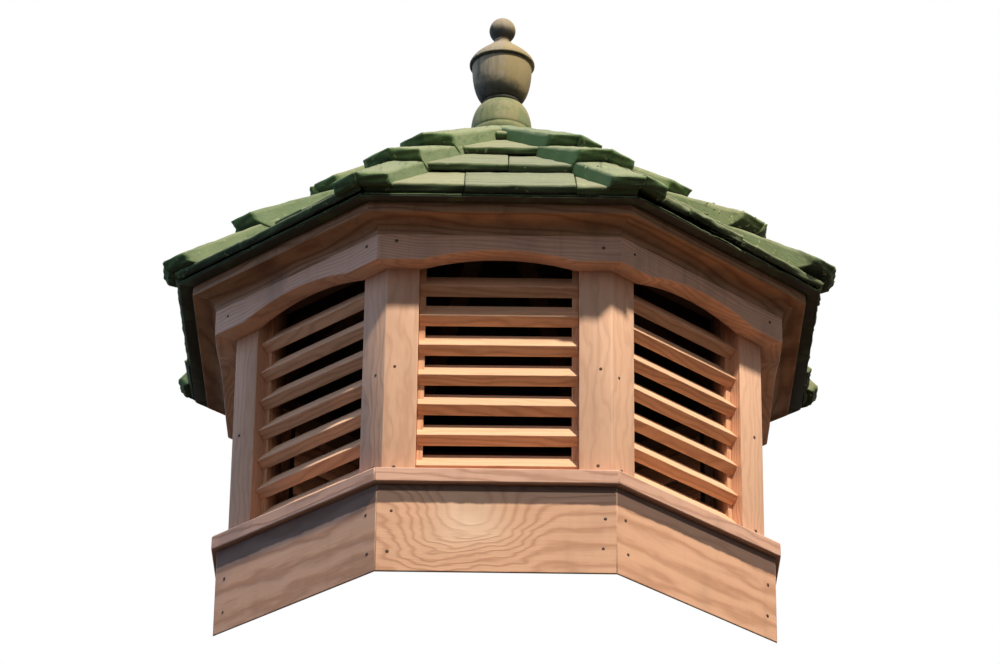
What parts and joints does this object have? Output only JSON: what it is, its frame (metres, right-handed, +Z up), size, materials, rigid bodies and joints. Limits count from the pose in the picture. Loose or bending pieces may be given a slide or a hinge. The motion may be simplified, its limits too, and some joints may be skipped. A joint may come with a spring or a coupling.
{
  "type": "roof cupola",
  "caption": "Eight-sided wooden louvred roof cupola with mitred skirt and sill, arched friezes, a thick mossy shingle roof with hip caps and a turned urn finial",
  "frame": {"origin": "the middle of the underside of the skirt, level with the surface that the cupola stands on", "axes": "+Z up along the axis of the octagon, through the finial; -Y out of the front side; +X to the right of someone who faces the front side"},
  "size_m": [1.3856, 1.3856, 1.566],
  "materials": {
    "cedar_boards": "bare red-brown cedar boards with straight and cathedral grain, lightly greyed",
    "cedar_slats": "bare orange-brown cedar slats, paler along the upper arris",
    "cedar_trim": "bare cedar, darker and greyer under the eave",
    "dark_eave_wood": "wood stained nearly black by damp and algae",
    "frame_wood": "sawn framing timber, dry and dull",
    "mossy_shingles": "thick wooden shingles covered with pale green algae, dark green at the butts",
    "mossy_hip_caps": "thick wooden hip caps with algae and moss, rough split ends",
    "mossy_finial": "turned wood covered with yellow-green algae",
    "weathered_finial": "turned wood, grey-tan, with dark stains below and worn paint at the ball"
  },
  "bodies": {
    "root": {"skirt_front": "cedar_boards", "skirt_front_right": "cedar_boards", "skirt_right": "cedar_boards", "skirt_back_right": "cedar_boards", "skirt_back": "cedar_boards", "skirt_back_left": "cedar_boards", "skirt_left": "cedar_boards", "skirt_front_left": "cedar_boards", "sills_square": "cedar_boards", "sills_diagonal": "cedar_boards", "posts_front": "cedar_boards", "posts_back": "cedar_boards", "louvre_front": "cedar_slats", "louvre_front_right": "cedar_slats", "louvre_right": "cedar_slats", "louvre_back_right": "cedar_slats", "louvre_back": "cedar_slats", "louvre_back_left": "cedar_slats", "louvre_left": "cedar_slats", "louvre_front_left": "cedar_slats", "frieze_front": "cedar_trim", "frieze_front_right": "cedar_trim", "frieze_right": "cedar_trim", "frieze_back_right": "cedar_trim", "frieze_back": "cedar_trim", "frieze_back_left": "cedar_trim", "frieze_left": "cedar_trim", "frieze_front_left": "cedar_trim", "crown_square": "cedar_trim", "crown_diagonal": "cedar_trim", "plate": "frame_wood", "hip_rafters": "frame_wood", "rafter_hub": "frame_wood", "roof_boards_square": "dark_eave_wood", "roof_boards_diagonal": "dark_eave_wood", "shingles_square": "mossy_shingles", "shingles_diagonal": "mossy_shingles", "hip_caps_a": "mossy_hip_caps", "hip_caps_b": "mossy_hip_caps", "finial_foot": "mossy_finial", "finial_bowl": "weathered_finial", "finial_lid": "weathered_finial"}
  },
  "joints": []
}
